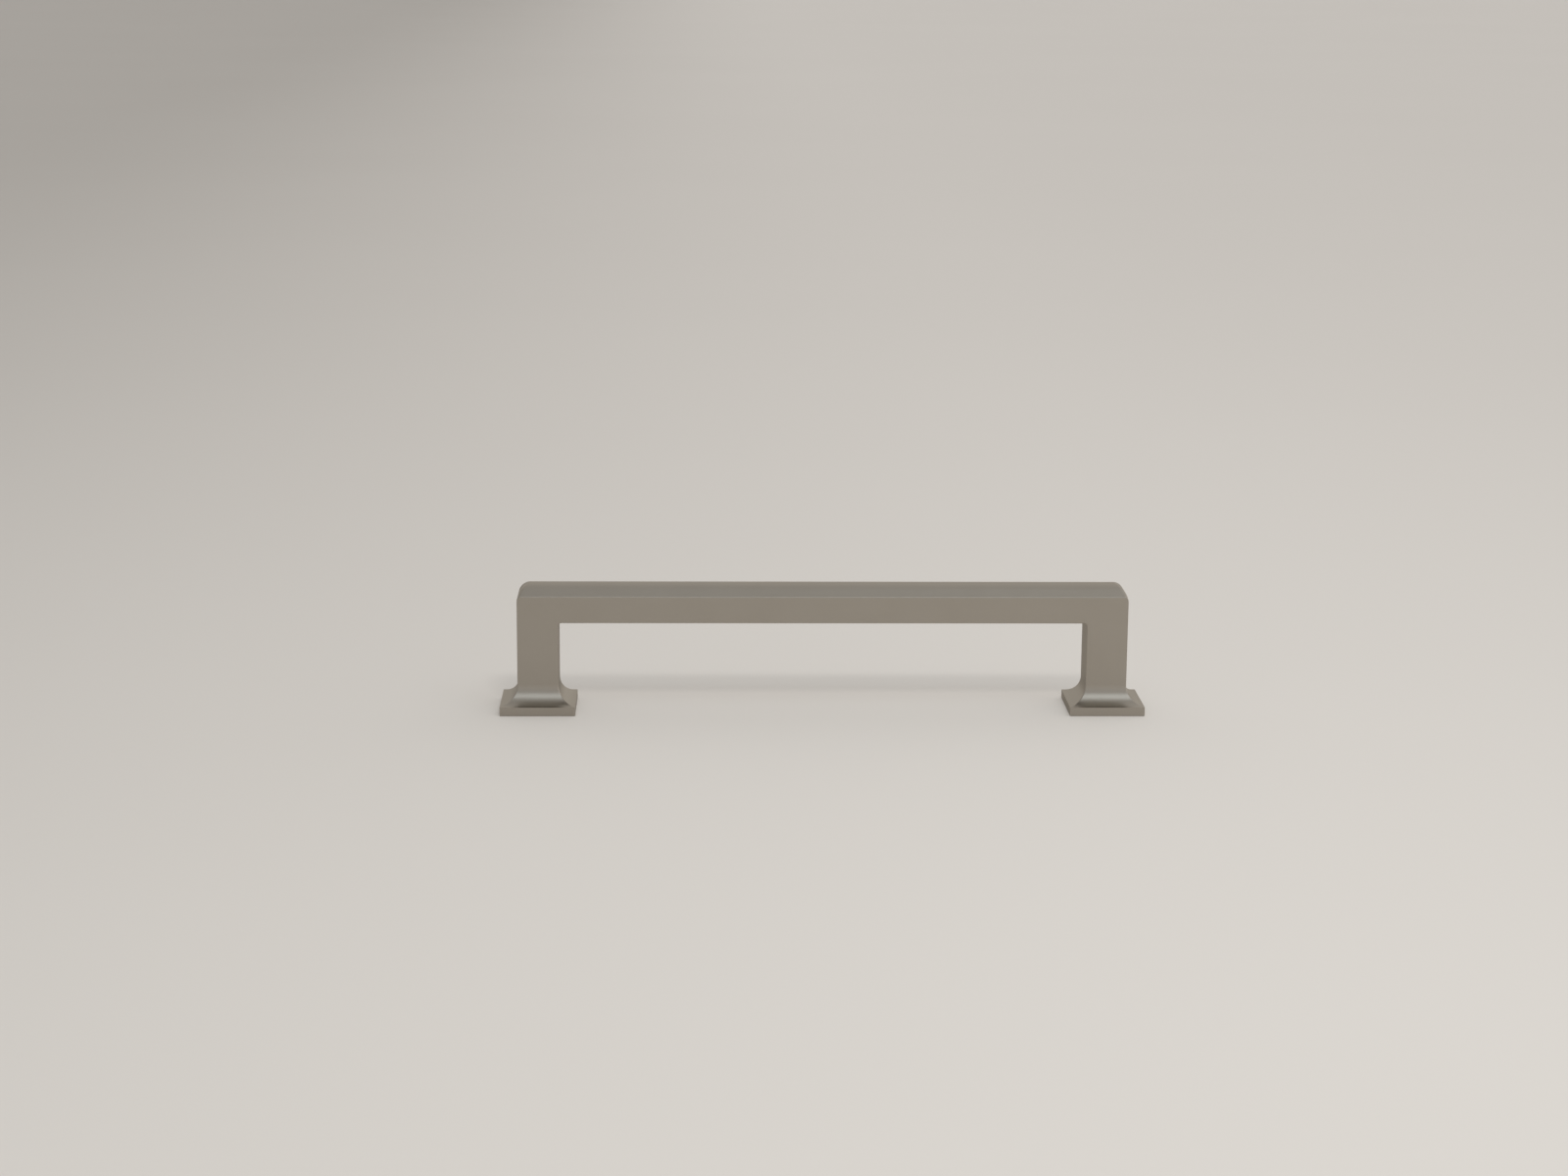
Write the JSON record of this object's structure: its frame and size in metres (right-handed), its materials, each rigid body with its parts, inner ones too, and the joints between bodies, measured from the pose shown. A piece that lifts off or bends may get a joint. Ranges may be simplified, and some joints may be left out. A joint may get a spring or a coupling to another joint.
{
  "type": "bridge pull handle",
  "caption": "Cabinet bridge pull: a straight crowned bar on square posts that flare through mitred coves into square feet, tapped from below for screws.",
  "frame": {"origin": "on the mounting plane, midway between the two screw holes", "axes": "+X along the bar, +Y across the bar, +Z away from the cabinet front"},
  "size_m": [0.1448, 0.0168, 0.029],
  "materials": {
    "satin_nickel": "satin"
  },
  "bodies": {
    "root": {"handle_body": "satin_nickel"}
  },
  "joints": []
}
